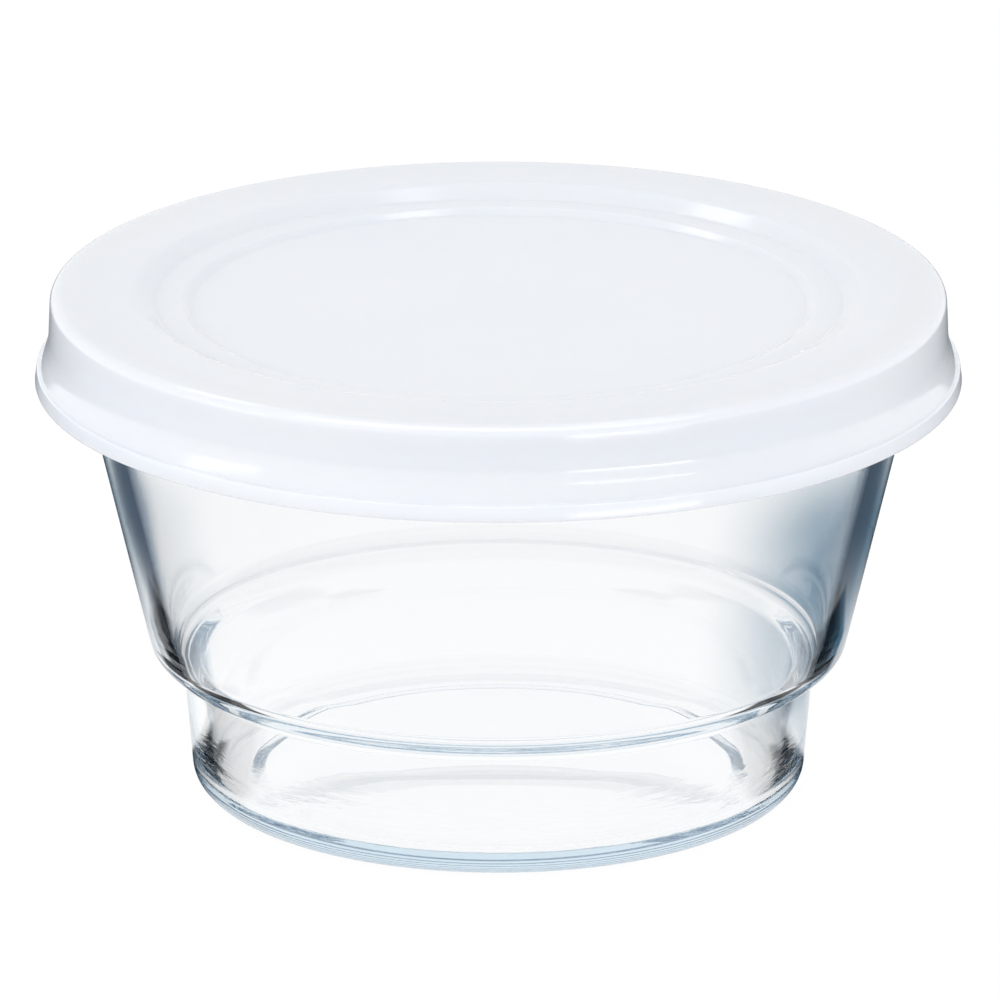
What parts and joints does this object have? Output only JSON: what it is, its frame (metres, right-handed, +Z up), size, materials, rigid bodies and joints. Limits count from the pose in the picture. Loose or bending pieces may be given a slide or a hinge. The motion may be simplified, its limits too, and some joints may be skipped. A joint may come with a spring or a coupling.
{
  "type": "lidded bowl",
  "caption": "Round pressed-glass bowl with a sloping wall, a stepped foot and a push-on milky plastic lid whose sunk top takes the foot of another bowl.",
  "frame": {"origin": "middle of the bowl's foot, on the surface it stands on", "axes": "+Z up, along the axis that both pieces are turned round"},
  "size_m": [0.13, 0.13, 0.0723],
  "materials": {
    "clear_glass": "clear pressed glass, fire-polished, with a faint blue tint where it is thick",
    "milky_plastic": "soft milky plastic, satin, slightly translucent"
  },
  "bodies": {
    "bowl": {"bowl": "clear_glass"},
    "lid": {"lid": "milky_plastic"}
  },
  "joints": [
    {"name": "lid_lift", "type": "slide", "parent": "bowl", "child": "lid", "axis": [0, 0, 1], "range_m": [0, 0.04]}
  ]
}
